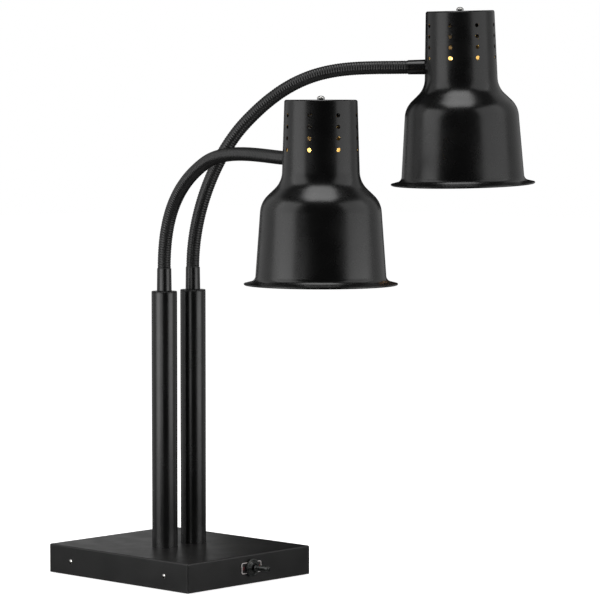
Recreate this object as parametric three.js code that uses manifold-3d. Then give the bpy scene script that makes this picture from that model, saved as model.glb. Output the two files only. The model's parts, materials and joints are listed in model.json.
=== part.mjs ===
// A two-lamp food warmer: a weighted steel base, two tubular posts, a gooseneck on each post
// and a bell shade with an infrared reflector bulb on each gooseneck. Millimetres, +Z up.
// The base is drawn round X = Y = 0 with its switch on the -Y face, and the finished model is
// then moved so that the middle of its bounding box, at ground level, is the origin.

import * as THREE from 'three';
import { mergeVertices } from 'three/addons/utils/BufferGeometryUtils.js';
import Module from 'manifold-3d';

const wasm = await Module();
wasm.setup();

// ---------------------------------------------------------------- driving dimensions

const GAP = 0.3;              // clearance between pieces that touch
const SHEET = 1.5;            // steel sheet of the base

const BASE_X = 262;
const BASE_Y = 306;
const BASE_TOP = 46;
const BASE_CORNER = 3;        // radius of the base's upright corners
const BASE_EDGE = 2.5;        // radius round its top
const FOOT_HEIGHT = 2;        // how far the feet stand out under the shell
const PAN_UNDERSIDE = 5;
const FLANGE_TOP = 33;        // top of the pan's upturned sides
const SIDE_SCREW_Y = 103;
const SIDE_SCREW_Z = 23;

const BALLAST = { x: 200, y: 236, z: 13, boltY: 80, boltRadius: 3 };
const FOOT = { x: 112, y: 135, radius: 10, stem: 3 };

const POST_X = 30.5;          // each post's distance from the middle of the base
const POST_RADIUS = 19.5;
const POST_WALL = 1.5;
const POST_FOOT = 31;
const POST_TOP = 436.5;
const CAP_TOP = 438.5;
const CAP_PLUG = 12;          // how far the cap's plug reaches down into the post
const LOCK_RING = { flange: 6, height: 7 };

const FERRULE_RADIUS = 11.3;
const FERRULE_TOP = 473;
const UPPER_FERRULE = 26;     // length of the ferrule at the shade
const SOCKET_DEPTH = 18;      // how deep a gooseneck sits in a ferrule
const NECK_RADIUS = 10.1;
const NECK_BORE = 7;
const WIRE_BORE = 4;
const NIPPLE_RADIUS = 6.5;
const LOWER_NIPPLE = 22;      // length of the threaded part below a ferrule's shoulder
const UPPER_NIPPLE = 16;
const NUT_HEIGHT = 5;

const SHADE_HEIGHT = 260;
const SHADE_SHEET = 1.2;
const RIM_RADIUS = 109;
const BODY_RADIUS = 54.5;     // shade's outer radius where the gooseneck enters
const ENTRY_DROP = 83.2;      // depth of that entry below the top of the shade
const VENT = { radius: 3, first: 21.8, pitch: 16.1, rows: 4, columns: 8, offset: -8.5 };

// Heights inside the shade are measured from its top, downwards negative.
const WEB_TOP = -(SHADE_SHEET + 2);
const SOCKET = { radius: 23, top: -20, mouth: -66, bore: 13.6 };
const BULB = { capTop: -36, capFoot: -63, capRadius: 13.2, glassTop: -63.3, face: -213, radius: 62.5 };

const HANGER = { hole: 3.3, boltRadius: 3, boltEnd: 3.8, bracketWidth: 20 };
const WASHER = { radius: 5.6, top: 1.1 };
const DOME_NUT = { radius: 5.7, skirt: 1.1, top: 5.6, bore: 4.2 };

const SIDE_SCREW = { hole: 2.3, seat: 10 };
const SWITCH = { x: 2, z: 26.5, throwDegrees: 12, pivotOut: 3, hole: 6.3, bushing: 6 };
const GLAND = { x: 70, z: 26, hole: 8.3, thread: 8, cable: 4 };
const BLOCK = { x: 20, y: 105, z0: 20.4, z1: 32 };

// Each arm lies in an upright plane through its post. heading is that plane's compass angle
// from +X; points in it are [distance from the post, height]. tilt lifts the head about a level
// line across that plane, and roll turns it about the line of its ferrule.
const ARMS = [
  {
    side: 'left', postX: -POST_X, heading: -101, top: [407.5, 728.5], tilt: 0, roll: 0,
    middle: [113.5, 635.3], slope: 23, handles: [77, 86.5, 64, 46],
  },
  {
    side: 'right', postX: POST_X, heading: -58, top: [414.2, 862.7], tilt: 0.85, roll: 2.1,
    middle: [83.7, 695], slope: 46.1, handles: [82.3, 70, 125, 100],
  },
];

// ---------------------------------------------------------------- materials

function material(color, roughness, metalness) {
  return new THREE.MeshStandardMaterial({ color, roughness, metalness });
}

const BLACK_COAT = material(0x1c1c1d, 0.42, 0.1);
const BRIGHT_STEEL = material(0xc9cacc, 0.25, 1);
const ZINC = material(0xa9adb0, 0.4, 1);
const RUBBER = material(0x151515, 0.7, 0);
const DARK_PLASTIC = material(0x222224, 0.5, 0);
const PORCELAIN = material(0xe9e5dc, 0.3, 0);
const GLASS = material(0xf4d9b0, 0.15, 0);
const BRASS = material(0xc8a85a, 0.3, 1);
const LEAD = material(0x2d2d30, 0.6, 0);

// ---------------------------------------------------------------- geometry helpers

// Only positions are kept and shared vertices are merged, so the mesh is one closed skin
// whose faces point out.
function closed(geometry) {
  const plain = geometry.index ? geometry.clone() : geometry;
  plain.deleteAttribute('normal');
  plain.deleteAttribute('uv');
  const merged = mergeVertices(plain, 1e-4);
  const index = merged.index.array;
  const kept = [];
  for (let i = 0; i < index.length; i += 3) {
    const [a, b, c] = [index[i], index[i + 1], index[i + 2]];
    if (a !== b && b !== c && c !== a) kept.push(a, b, c);
  }
  if (signedVolume(merged.attributes.position.array, kept) < 0) kept.reverse();
  merged.setIndex(kept);
  return merged;
}

function signedVolume(position, index) {
  const corner = [new THREE.Vector3(), new THREE.Vector3(), new THREE.Vector3()];
  let sum = 0;
  for (let i = 0; i < index.length; i += 3) {
    corner.forEach((v, k) => v.fromArray(position, 3 * index[i + k]));
    sum += corner[0].dot(corner[1].cross(corner[2]));
  }
  return sum / 6;
}

function toManifold(geometry) {
  const skin = closed(geometry);
  return new wasm.Manifold(new wasm.Mesh({
    numProp: 3,
    vertProperties: Float32Array.from(skin.attributes.position.array),
    triVerts: Uint32Array.from(skin.index.array),
  }));
}

function fromManifold(manifold) {
  const mesh = manifold.getMesh();
  const geometry = new THREE.BufferGeometry();
  geometry.setAttribute('position', new THREE.BufferAttribute(mesh.vertProperties, 3));
  geometry.setIndex(new THREE.BufferAttribute(mesh.triVerts, 1));
  return geometry;
}

function cut(geometry, ...tools) {
  const body = toManifold(geometry);
  return fromManifold(tools.reduce((rest, tool) => rest.subtract(toManifold(tool)), body));
}

function join(...geometries) {
  return fromManifold(geometries.map(toManifold).reduce((a, b) => a.add(b)));
}

function box(x0, x1, y0, y1, z0, z1) {
  return new THREE.BoxGeometry(x1 - x0, y1 - y0, z1 - z0)
    .translate((x0 + x1) / 2, (y0 + y1) / 2, (z0 + z1) / 2);
}

// An upright cylinder on the Z axis.
function rod(radius, z0, z1, sides = 24) {
  return new THREE.CylinderGeometry(radius, radius, z1 - z0, sides)
    .rotateX(Math.PI / 2)
    .translate(0, 0, (z0 + z1) / 2);
}

// A solid of revolution about Z from a closed outline of [radius, height] points.
function turned(outline, sides = 24) {
  const points = outline.map(([r, z]) => new THREE.Vector2(r, z));
  if (outline[0][0] > 0) points.push(points[0].clone());
  return new THREE.LatheGeometry(points, sides).rotateX(Math.PI / 2);
}

// A ring of rectangular section about Z.
function ring(outer, inner, z0, z1, sides = 24) {
  return turned([[inner, z0], [outer, z0], [outer, z1], [inner, z1]], sides);
}

// Points of an arc, from one angle to another in degrees.
function arc(centre, radius, from, to, steps) {
  return Array.from({ length: steps + 1 }, (_, i) => {
    const angle = THREE.MathUtils.degToRad(from + (to - from) * i / steps);
    return [centre[0] + radius * Math.cos(angle), centre[1] + radius * Math.sin(angle)];
  });
}

// A rod or tube swept along a curve.
function swept(path, radius, bore, steps, sides) {
  const section = new THREE.Shape().setFromPoints(roundPoints(radius, sides));
  if (bore) section.holes.push(new THREE.Path().setFromPoints(roundPoints(bore, sides / 2)));
  return new THREE.ExtrudeGeometry(section, { extrudePath: path, steps });
}

// The corners of a regular polygon, as a section for a sweep.
function roundPoints(radius, sides) {
  const last = 360 * (1 - 1 / sides);
  return arc([0, 0], radius, 0, last, sides - 1).map(([x, y]) => new THREE.Vector2(x, y));
}

// A convex solid through level loops of points, each loop [[x, y, z], ...] above the last.
function lofted(loops) {
  const count = loops[0].length;
  const index = [];
  for (let level = 0; level + 1 < loops.length; level += 1) {
    for (let i = 0; i < count; i += 1) {
      const [a, b] = [level * count + i, level * count + (i + 1) % count];
      index.push(a, b, b + count, a, b + count, a + count);
    }
  }
  const last = (loops.length - 1) * count;
  for (let i = 1; i + 1 < count; i += 1) index.push(0, i + 1, i, last, last + i, last + i + 1);
  const geometry = new THREE.BufferGeometry();
  geometry.setAttribute('position', new THREE.Float32BufferAttribute(loops.flat(2), 3));
  geometry.setIndex(index);
  return geometry;
}

// The loop of a rectangle with rounded corners at height z.
function cornerLoop(width, depth, radius, z, steps = 2) {
  const [x, y] = [width / 2 - radius, depth / 2 - radius];
  return [[x, y], [-x, y], [-x, -y], [x, -y]].flatMap((centre, i) => (
    arc(centre, radius, 90 * i, 90 * i + 90, steps).map(([px, py]) => [px, py, z])
  ));
}

// A block with upright rounded corners and a rounded top edge.
function roundedBlock(width, depth, z0, z1, corner, edge) {
  const loops = [cornerLoop(width, depth, corner, z0)];
  for (const [inset, z] of arc([edge, z1 - edge], edge, 180, 90, 3)) {
    loops.push(cornerLoop(width - 2 * inset, depth - 2 * inset, corner - inset, z));
  }
  return lofted(loops);
}

function addPiece(parent, name, geometry, look) {
  const mesh = new THREE.Mesh(closed(geometry), look);
  mesh.name = name;
  parent.add(mesh);
  return mesh;
}

// ---------------------------------------------------------------- base

function baseShell() {
  const outer = roundedBlock(BASE_X, BASE_Y, FOOT_HEIGHT, BASE_TOP, BASE_CORNER, BASE_EDGE);
  const inner = roundedBlock(
    BASE_X - 2 * SHEET, BASE_Y - 2 * SHEET, FOOT_HEIGHT - 10, BASE_TOP - SHEET,
    BASE_CORNER - SHEET, BASE_EDGE - SHEET,
  );
  const postHoles = ARMS.map(({ postX }) => rod(POST_RADIUS + GAP, 30, 60, 24).translate(postX, 0, 0));
  const switchHole = facing(rod(SWITCH.hole, -10, 10), SWITCH, -1);
  const glandHole = facing(rod(GLAND.hole, -10, 10), GLAND, 1);
  return cut(outer, inner, ...postHoles, ...sideScrewHoles(), switchHole, glandHole);
}

// Turns a piece drawn along +Z to point out of the front (-1) or rear (+1) face of the base,
// with z = 0 on the face.
function facing(geometry, { x, z }, side) {
  return geometry.rotateX(-side * Math.PI / 2).translate(x, side * BASE_Y / 2, z);
}

function sideScrewPlaces() {
  return [['left_front', -1, -1], ['left_rear', -1, 1], ['right_front', 1, -1], ['right_rear', 1, 1]]
    .map(([name, side, end]) => ({ name, side, end }));
}

// Turns a piece drawn along +Z to point into the base through a side face, where
// z = SIDE_SCREW.seat is the outside of the sheet.
function placedAcross(geometry, { side, end }) {
  return geometry.translate(0, 0, -SIDE_SCREW.seat)
    .rotateY(-side * Math.PI / 2)
    .translate(side * BASE_X / 2, end * SIDE_SCREW_Y, SIDE_SCREW_Z);
}

function sideScrewHoles() {
  const drill = () => rod(SIDE_SCREW.hole, 0, 2 * SIDE_SCREW.seat, 12);
  return sideScrewPlaces().map((place) => placedAcross(drill(), place));
}

// The bottom pan: a plate with a flange turned up along each side.
function bottomPan() {
  const outerX = BASE_X / 2 - SHEET - GAP;
  const halfY = BASE_Y / 2 - SHEET - GAP;
  const top = PAN_UNDERSIDE + SHEET;
  const outerY = halfY - BASE_CORNER;
  const outer = box(-outerX, outerX, -outerY, outerY, PAN_UNDERSIDE, FLANGE_TOP);
  const inside = box(-outerX + SHEET, outerX - SHEET, -BASE_Y, BASE_Y, top, FLANGE_TOP + 10);
  const footHoles = footPlaces().map(({ x, y }) => rod(FOOT.stem + GAP, 0, 20, 16).translate(x, y, 0));
  return cut(outer, inside, ...sideScrewHoles(), ...footHoles, ...ballastBoltHoles());
}

function ballastBoltHoles() {
  const hole = () => rod(BALLAST.boltRadius + GAP, 0, 17, 12);
  return [-1, 1].map((end) => hole().translate(0, end * BALLAST.boltY, 0));
}

// A low-headed bolt that holds the ballast down on the pan from underneath.
function ballastBolt() {
  const seat = PAN_UNDERSIDE - GAP;
  return join(rod(6, seat - 2.2, seat, 6), rod(BALLAST.boltRadius, seat - 1, 16, 12));
}

function footPlaces() {
  return [
    { name: 'front_left', x: -FOOT.x, y: -FOOT.y },
    { name: 'front_right', x: FOOT.x, y: -FOOT.y },
    { name: 'rear_left', x: -FOOT.x, y: FOOT.y },
    { name: 'rear_right', x: FOOT.x, y: FOOT.y },
  ];
}

// A push-in rubber foot: a pad, a stem through the pan and a barb above it.
function foot() {
  const pad = PAN_UNDERSIDE - GAP;
  const plate = PAN_UNDERSIDE + SHEET + GAP;
  return turned([
    [0, 0], [FOOT.radius - 1, 0], [FOOT.radius, 1], [FOOT.radius, pad], [FOOT.stem, pad],
    [FOOT.stem, plate], [FOOT.stem + 1.4, plate], [FOOT.stem - 0.8, plate + 4], [0, plate + 4],
  ], 12);
}

// A pan-head screw drawn along +Z, with its head outside the sheet.
function sideScrew() {
  const seat = SIDE_SCREW.seat - GAP;
  const tip = seat + 9;
  return turned([
    [0, seat - 2.3], [2, seat - 2.1], [3.2, seat - 1.2], [3.6, seat], [2, seat], [2, tip], [0, tip],
  ], 12);
}

function addBase(parent) {
  addPiece(parent, 'base_shell', baseShell(), BLACK_COAT);
  addPiece(parent, 'bottom_pan', bottomPan(), ZINC);
  const ballastFloor = PAN_UNDERSIDE + SHEET + GAP;
  addPiece(parent, 'ballast_plate', cut(box(
    -BALLAST.x / 2, BALLAST.x / 2, -BALLAST.y / 2, BALLAST.y / 2, ballastFloor, ballastFloor + BALLAST.z,
  ), ...ballastBoltHoles()), ZINC);
  for (const [name, end] of [['front', -1], ['rear', 1]]) {
    addPiece(parent, `ballast_bolt_${name}`, ballastBolt().translate(0, end * BALLAST.boltY, 0), ZINC);
  }
  for (const { name, x, y } of footPlaces()) {
    addPiece(parent, `foot_${name}`, foot().translate(x, y, 0), RUBBER);
  }
  for (const place of sideScrewPlaces()) {
    addPiece(parent, `side_screw_${place.name}`, placedAcross(sideScrew(), place), BRIGHT_STEEL);
  }
}

// ---------------------------------------------------------------- switch, gland and wiring

// The toggle switch is drawn along +Z with z = 0 on the base's front face, then turned to it.
function addSwitch(parent) {
  const out = (geometry) => facing(geometry, SWITCH, -1);

  const plateOut = 1.1;
  const plate = lofted([GAP, plateOut].map((z) => cornerLoop(42, 17, 3, z)));
  addPiece(parent, 'switch_legend_plate', out(cut(plate, rod(SWITCH.hole, -1, 5))), BRIGHT_STEEL);

  const behind = -SHEET - GAP;
  const body = join(
    box(-8, 8, -13, 13, behind - 20, behind),
    rod(SWITCH.bushing, behind - 1, 6, 24),
  );
  const leverWell = new THREE.CylinderGeometry(4.8, 2.6, 9, 20)
    .rotateX(Math.PI / 2)
    .translate(0, 0, 2.5);
  addPiece(parent, 'switch_body', out(cut(body, leverWell)), DARK_PLASTIC);

  const nutOut = plateOut + GAP;
  addPiece(parent, 'switch_nut', out(hexNut(SWITCH.hole, nutOut, 2, 15)), BRIGHT_STEEL);

  // The splash boot's skirt: a bellows disc round the bushing with a wide mouth for the lever.
  addPiece(parent, 'switch_boot', out(turned([
    [9.2, nutOut], [13.2, nutOut], [13.6, nutOut + 0.8], [13.6, 4.2], [12.4, 5.2], [11, 5.2],
    [10.2, 4.6], [9.4, 6.2], [8.2, 6.2], [7.6, 7.6], [6.4, 7.6], [6.4, 6.4], [9.2, 4.2],
  ], 20)), RUBBER);

  // The lever and its rubber sleeve turn about an upright axis just outside the face.
  const leaning = (geometry) => {
    const lean = THREE.MathUtils.degToRad(SWITCH.throwDegrees);
    const { pivotOut } = SWITCH;
    return out(geometry.translate(0, 0, -pivotOut).rotateY(lean).translate(0, 0, pivotOut));
  };
  const lever = turned([
    [0, 0.5], [1.6, 0.5], [2, 3], [2.4, 12], [2.9, 26], [2.6, 28.4], [0, 29],
  ], 12);
  addPiece(parent, 'switch_lever', leaning(lever), BRIGHT_STEEL);
  const sleeve = turned([
    [2.9, 8.4], [4.2, 8.4], [4.4, 14], [4.6, 28], [4.2, 31.4], [2.8, 33], [0, 33.5],
    [0, 29.4], [2.9, 28.9], [3.3, 26], [2.8, 12],
  ], 12);
  addPiece(parent, 'switch_sleeve', leaning(sleeve), RUBBER);
}

// The cable gland on the rear face, drawn the same way.
function addGland(parent) {
  const out = (geometry) => facing(geometry, GLAND, 1);
  const bore = rod(GLAND.cable, -30, 40, 20);
  const body = join(rod(GLAND.thread, -12, 12, 24), ring(11.5, 5, GAP, 5, 6));
  addPiece(parent, 'gland_body', out(cut(body, bore)), DARK_PLASTIC);
  addPiece(parent, 'gland_lock_nut', out(hexNut(GLAND.hole, -SHEET - GAP - 4, 4, 20)), DARK_PLASTIC);
  const inside = GLAND.thread + GAP;
  const mouth = GLAND.cable + GAP;
  addPiece(parent, 'gland_cap', out(turned([
    [inside, 5.3], [10.6, 5.3], [10.6, 14], [9, 18], [6.2, 20.5], [mouth, 20.5], [mouth, 12.3],
    [inside, 12.3],
  ], 16)), DARK_PLASTIC);
}

// The terminal block lies on the ballast plate, towards the rear of the base.
function addTerminalBlock(parent) {
  const { x, y, z0, z1 } = BLOCK;
  const block = box(x - 24, x + 24, y - 8, y + 8, z0, z1);
  const wells = [-16, 0, 16].map((dx) => rod(2.2, z1 - 5, z1 + 1, 12).translate(x + dx, y, 0));
  addPiece(parent, 'terminal_block', cut(block, ...wells), PORCELAIN);
}

function lead(points, radius = 3) {
  const path = new THREE.CatmullRomCurve3(points.map((p) => new THREE.Vector3(...p)));
  return swept(path, radius, 0, 4 * (points.length - 1), 8);
}

function addLeads(parent) {
  const { x, y } = BLOCK;
  const high = 26;
  const glandEnd = BASE_Y / 2 - 14;
  addPiece(parent, 'inlet_lead', lead([
    [GLAND.x, glandEnd, GLAND.z], [GLAND.x, glandEnd - 8, GLAND.z + 2], [x + 44, y + 8, high],
    [x + 34, y, high], [x + 24.4, y, high],
  ]), LEAD);
  const switchEnd = -BASE_Y / 2 + SHEET + 20.8;
  addPiece(parent, 'switch_lead', lead([
    [SWITCH.x, switchEnd, high], [SWITCH.x, switchEnd + 15, high], [SWITCH.x, 0, high],
    [x - 4, y - 25, high], [x - 4, y - 8.4, high],
  ]), LEAD);
}

// ---------------------------------------------------------------- posts

function addPost(parent, { side, postX }) {
  const place = (geometry) => geometry.translate(postX, 0, 0);
  addPiece(parent, `post_${side}`, place(
    ring(POST_RADIUS, POST_RADIUS - POST_WALL, POST_FOOT, POST_TOP, 24),
  ), BLACK_COAT);

  const underTop = BASE_TOP - SHEET - GAP;
  addPiece(parent, `post_lock_ring_${side}`, place(
    ring(POST_RADIUS + LOCK_RING.flange, POST_RADIUS + GAP, underTop - LOCK_RING.height, underTop, 24),
  ), ZINC);

  const lip = POST_TOP + GAP;
  const plug = POST_RADIUS - POST_WALL - GAP;
  const plugFloor = POST_TOP - CAP_PLUG;
  const bore = NIPPLE_RADIUS + GAP;
  addPiece(parent, `post_cap_${side}`, place(turned([
    [bore, plugFloor], [plug, plugFloor], [plug, lip], [POST_RADIUS, lip],
    ...arc([POST_RADIUS - 1, CAP_TOP - 1], 1, 0, 90, 1), [bore, CAP_TOP],
  ], 24)), BLACK_COAT);
}

// ---------------------------------------------------------------- goosenecks

// A ferrule drawn along +Z from its shoulder: a threaded nipple below the shoulder, a socket
// for the gooseneck above it and a bore for the wires right through.
function ferrule(length, nippleLength) {
  const floor = length - SOCKET_DEPTH;
  return turned([
    [WIRE_BORE, -nippleLength], [NIPPLE_RADIUS, -nippleLength], [NIPPLE_RADIUS, 0],
    [FERRULE_RADIUS - 0.8, 0], [FERRULE_RADIUS, 0.8], [FERRULE_RADIUS, length - 1],
    [FERRULE_RADIUS - 0.6, length], [NECK_RADIUS + GAP, length], [NECK_RADIUS + GAP, floor],
    [WIRE_BORE, floor],
  ], 16);
}

function hexNut(bore, z0, height, acrossFlats) {
  const corner = acrossFlats / Math.sqrt(3);
  return cut(rod(corner, z0, z0 + height, 6), rod(bore, z0 - 1, z0 + height + 1, 16));
}

// The neck's centreline: upright at the post, at the given slope in the middle, and in line
// with the shade's ferrule at the far end. Each half is one cubic curve.
function neckHalves({ middle, slope, handles, tilt, top }) {
  const across = (degrees) => {
    const angle = THREE.MathUtils.degToRad(degrees);
    return new THREE.Vector3(Math.cos(angle), 0, Math.sin(angle));
  };
  const start = new THREE.Vector3(0, 0, FERRULE_TOP);
  const half = new THREE.Vector3(middle[0], 0, middle[1]);
  const mouth = new THREE.Vector3(top[0], 0, top[1])
    .addScaledVector(across(tilt), -(BODY_RADIUS + UPPER_FERRULE))
    .addScaledVector(across(tilt + 90), -ENTRY_DROP);
  const midway = across(slope);
  const along = (point, direction, distance) => point.clone().addScaledVector(direction, distance);
  const up = new THREE.Vector3(0, 0, 1);
  const inSocket = SOCKET_DEPTH - GAP;

  const lower = new THREE.CurvePath();
  const lowerEnd = along(half, midway, -GAP / 2);
  lower.add(new THREE.LineCurve3(along(start, up, -inSocket), start));
  lower.add(new THREE.CubicBezierCurve3(
    start, along(start, up, handles[0]), along(lowerEnd, midway, -handles[1]), lowerEnd,
  ));

  const upper = new THREE.CurvePath();
  const upperStart = along(half, midway, GAP / 2);
  upper.add(new THREE.CubicBezierCurve3(
    upperStart, along(upperStart, midway, handles[2]),
    along(mouth, across(tilt), -handles[3]), mouth,
  ));
  upper.add(new THREE.LineCurve3(mouth, along(mouth, across(tilt), inSocket)));
  return { lower, upper };
}

function addNeck(parent, arm) {
  const { side } = arm;
  const shoulder = CAP_TOP + GAP;
  const lowerFerrule = ferrule(FERRULE_TOP - shoulder, LOWER_NIPPLE).translate(0, 0, shoulder);
  addPiece(parent, `ferrule_lower_${side}`, lowerFerrule, BLACK_COAT);
  const nutFloor = POST_TOP - CAP_PLUG - GAP - NUT_HEIGHT;
  addPiece(
    parent, `ferrule_lower_nut_${side}`, hexNut(NIPPLE_RADIUS + GAP, nutFloor, NUT_HEIGHT, 22), ZINC,
  );

  const { lower, upper } = neckHalves(arm);
  addPiece(parent, `neck_lower_${side}`, swept(lower, NECK_RADIUS, NECK_BORE, 12, 12), BLACK_COAT);
  addPiece(parent, `neck_upper_${side}`, swept(upper, NECK_RADIUS, NECK_BORE, 12, 12), BLACK_COAT);
}

// ---------------------------------------------------------------- lamp heads

// Each head is drawn about its shade's axis, with z = 0 on top of the shade and the
// gooseneck coming in along X from the -X side.

// The outside of the shade as [radius, depth below its top] points: a rounded cap, a nearly
// straight body, a bell shoulder, a slowly widening skirt and a flared rim.
function shadeOutline() {
  return [
    [0, 0], [49.2, 0], [51.8, 2.6], [52.6, 42], [54.9, 99], [57.7, 113], [67.4, 127], [80.5, 141],
    [85.3, 156], [88.4, 198], [92.3, 249.5], [97, 256], [RIM_RADIUS, SHADE_HEIGHT],
  ];
}

// The inside skin: the outline moved in by the sheet's thickness along its own normals.
function insideOf(outline, thickness) {
  return outline.map(([r, d], i) => {
    const before = outline[Math.max(i - 1, 0)];
    const after = outline[Math.min(i + 1, outline.length - 1)];
    const run = Math.hypot(after[0] - before[0], after[1] - before[1]);
    const inward = [-(after[1] - before[1]) / run, (after[0] - before[0]) / run];
    const onAxis = i === 0;
    return onAxis ? [0, d + thickness] : [r + thickness * inward[0], d + thickness * inward[1]];
  });
}

function shade() {
  const outside = shadeOutline();
  const inside = insideOf(outside, SHADE_SHEET);
  const skin = turned([...outside, ...inside.reverse()].map(([r, d]) => [r, -d]), 32);
  const boltHole = rod(HANGER.hole, -5, 5, 16);
  const entry = rod(NIPPLE_RADIUS + GAP, -70, -40, 16)
    .rotateY(Math.PI / 2)
    .translate(0, 0, -ENTRY_DROP);
  return cut(skin, boltHole, entry, ...vents());
}

// Rows of round vent holes, evenly spaced round the body.
function vents() {
  const holes = [];
  for (let row = 0; row < VENT.rows; row += 1) {
    for (let column = 0; column < VENT.columns; column += 1) {
      const turn = THREE.MathUtils.degToRad(VENT.offset + 360 * column / VENT.columns);
      const depth = VENT.first + row * VENT.pitch;
      const drill = rod(VENT.radius, 48, 58, 6).rotateY(Math.PI / 2).rotateZ(turn);
      holes.push(drill.translate(0, 0, -depth));
    }
  }
  return holes;
}

// A ferrule whose shoulder is hollowed to sit on the round side of the shade.
function shadeFerrule() {
  const plain = ferrule(UPPER_FERRULE + 4, 12).translate(0, 0, -4);
  const seat = rod(BODY_RADIUS + GAP, -40, 40, 32)
    .rotateY(Math.PI / 2)
    .translate(0, 0, -BODY_RADIUS);
  const nipple = rod(NIPPLE_RADIUS, -UPPER_NIPPLE, 0, 24);
  return cut(join(cut(plain, seat), nipple), rod(WIRE_BORE, -20, 5, 24));
}

// Turns a piece drawn along +Z from the shade's wall to run out of it along -X.
function atEntry(geometry) {
  return geometry.rotateY(-Math.PI / 2).translate(-BODY_RADIUS, 0, -ENTRY_DROP);
}

// The hanger: a bolt through the top of the shade, held by a dome nut, carries a U bracket
// whose legs hold the lamp socket.
function bracket() {
  const leg = SOCKET.radius + GAP;
  const half = HANGER.bracketWidth / 2;
  const outer = box(-half, half, -leg - SHEET, leg + SHEET, SOCKET.top - 22, WEB_TOP);
  const inside = box(-half - 1, half + 1, -leg, leg, SOCKET.top - 30, WEB_TOP - SHEET);
  return cut(outer, inside, rod(HANGER.hole, -20, 5, 16));
}

// The bolt's head lies under the bracket's web.
function hangerBolt() {
  const seat = WEB_TOP - SHEET - GAP;
  return join(rod(HANGER.boltRadius, seat - 1, HANGER.boltEnd, 16), rod(5.6, seat - 4, seat, 6));
}

// A low dome nut: a short round skirt under an elliptical crown, bored for the bolt's end.
function domeNut() {
  const { radius, skirt, top, bore } = DOME_NUT;
  const foot = WASHER.top + GAP;
  const spring = foot + skirt;
  const rise = (top - spring) / radius;
  const crown = arc([0, 0], radius, 0, 90, 4).map(([r, z]) => [r, spring + z * rise]);
  return cut(turned([[0, foot], [radius, foot], ...crown], 20), rod(HANGER.hole, 0, bore, 16));
}

function lampSocket() {
  const { radius, top, mouth, bore } = SOCKET;
  return turned([
    [0, top], [radius - 2, top], [radius, top - 2], [radius, mouth + 4], [radius - 3, mouth],
    [bore, mouth], [bore, top - 15], [0, top - 15],
  ], 24);
}

// An R125 reflector bulb: a narrow neck, a parabolic flare and a shallow domed face. Its
// glass is a thin shell that is open where the screw cap closes it.
function bulbGlass() {
  const outside = [
    [12.6, BULB.glassTop], [13, -68], [16, -79], [26, -102], [43, -127], [57, -154],
    [BULB.radius, -177], [59.5, -192], [48, -202.5], [24, -210.5], [0, BULB.face],
  ];
  const wall = 1.4;
  const inside = insideOf(outside.map(([r, z]) => [r, -z]), wall).map(([r, d]) => [r, -d]);
  inside[0] = [outside[0][0] - wall, BULB.glassTop];
  inside[inside.length - 1] = [0, BULB.face + wall];
  return turned([...outside, ...inside.reverse()], 20);
}

function bulbCap() {
  const { capTop, capFoot, capRadius } = BULB;
  return turned([
    [0, capTop], [4.5, capTop], [5, capTop - 2], [11, capTop - 4.5], [capRadius, capTop - 6.5],
    [capRadius, capFoot], [0, capFoot],
  ], 24);
}

function addHead(parent, { side }) {
  addPiece(parent, `ferrule_upper_${side}`, atEntry(shadeFerrule()), BLACK_COAT);
  const nutBack = SHADE_SHEET + 1.5;
  addPiece(parent, `ferrule_upper_nut_${side}`, atEntry(
    hexNut(NIPPLE_RADIUS + GAP, -nutBack - NUT_HEIGHT, NUT_HEIGHT, 18),
  ), ZINC);
  addPiece(parent, `shade_${side}`, shade(), BLACK_COAT);
  addPiece(parent, `shade_washer_${side}`, ring(WASHER.radius, HANGER.hole, GAP, WASHER.top, 16), RUBBER);
  addPiece(parent, `dome_nut_${side}`, domeNut(), BRIGHT_STEEL);
  addPiece(parent, `hanger_bolt_${side}`, hangerBolt(), ZINC);
  addPiece(parent, `socket_bracket_${side}`, bracket(), ZINC);
  addPiece(parent, `lamp_socket_${side}`, lampSocket(), PORCELAIN);
  addPiece(parent, `bulb_cap_${side}`, bulbCap(), BRASS);
  addPiece(parent, `bulb_glass_${side}`, bulbGlass(), GLASS);
}

// ---------------------------------------------------------------- assembly

const warmer = new THREE.Group();
const assembly = new THREE.Group();
warmer.add(assembly);

addBase(assembly);
addSwitch(assembly);
addGland(assembly);
addTerminalBlock(assembly);
addLeads(assembly);

for (const arm of ARMS) {
  addPost(assembly, arm);

  const plane = new THREE.Group();
  plane.position.x = arm.postX;
  plane.rotation.z = THREE.MathUtils.degToRad(arm.heading);
  assembly.add(plane);
  addNeck(plane, arm);

  const head = new THREE.Group();
  head.position.set(arm.top[0], 0, arm.top[1]);
  head.rotation.y = -THREE.MathUtils.degToRad(arm.tilt);
  plane.add(head);

  const ferruleLine = new THREE.Group();
  ferruleLine.position.z = -ENTRY_DROP;
  ferruleLine.rotation.x = THREE.MathUtils.degToRad(arm.roll);
  head.add(ferruleLine);

  const lampHead = new THREE.Group();
  lampHead.position.z = ENTRY_DROP;
  ferruleLine.add(lampHead);
  addHead(lampHead, arm);
}

warmer.updateMatrixWorld(true);
const extent = new THREE.Box3().setFromObject(assembly, true);
const middle = extent.getCenter(new THREE.Vector3());
assembly.position.set(-middle.x, -middle.y, -extent.min.z);
warmer.updateMatrixWorld(true);

export default warmer;
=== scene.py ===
import json
import math

import bmesh
import bpy
from mathutils import Matrix, Vector


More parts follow.
